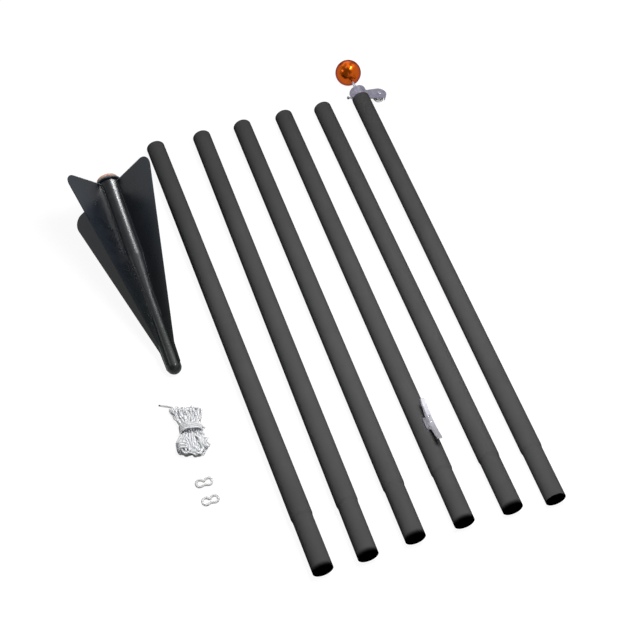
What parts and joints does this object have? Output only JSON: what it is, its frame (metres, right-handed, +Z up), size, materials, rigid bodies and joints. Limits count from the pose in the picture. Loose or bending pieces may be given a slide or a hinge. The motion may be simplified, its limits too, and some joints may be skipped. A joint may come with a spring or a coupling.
{
  "type": "sectional flagpole kit",
  "caption": "Knocked-down flagpole laid out flat: black tube sections with reduced feet, ball-topped truck with sheave, cleat, finned ground spike, rope hank and clips.",
  "frame": {"origin": "middle of the layout's footprint, on the floor", "axes": "+Y along the pole sections from foot to head, +X across the row towards the section with the ball, +Z up"},
  "size_m": [0.968, 1.5594, 0.2127],
  "materials": {
    "pole": "satin black powder coat",
    "truck_casting": "as cast, blasted",
    "cleat_casting": "as cast, polished by handling",
    "steel": "zinc plated",
    "retainer": "blackened",
    "sheave": "moulded nylon",
    "ball": "amber-gold plated, mirror gloss",
    "spike": "semi-gloss slate black enamel",
    "liner": "moulded, salmon",
    "clip": "moulded, white",
    "rope": "braided white cord"
  },
  "bodies": {
    "kit": {"pole_section_1": "pole", "pole_section_2": "pole", "pole_section_3": "pole", "pole_section_4": "pole", "pole_section_5": "pole", "pole_section_6": "pole", "truck_collar": "truck_casting", "truck_arm": "truck_casting", "rope_keeper": "truck_casting", "rope_guard": "truck_casting", "sheave_retainer": "retainer", "sheave_axle": "steel", "set_screw": "steel", "finial_spindle": "steel", "finial_ball": "ball", "cleat": "cleat_casting", "spike_sleeve": "spike", "spike_ring": "spike", "spike_liner": "liner", "spike_fin_1": "spike", "spike_fin_2": "spike", "spike_fin_3": "spike", "spike_fin_4": "spike", "clip_1": "clip", "clip_2": "clip", "rope_hank": "rope", "rope_tail": "rope"},
    "sheave": {"sheave": "sheave"}
  },
  "joints": [
    {"name": "sheave_spin", "type": "hinge", "parent": "kit", "child": "sheave", "pos_m": [0.46101, 0.63671, 0.01654], "axis": [-0.182, 0.0125, -0.9832], "continuous": true}
  ]
}
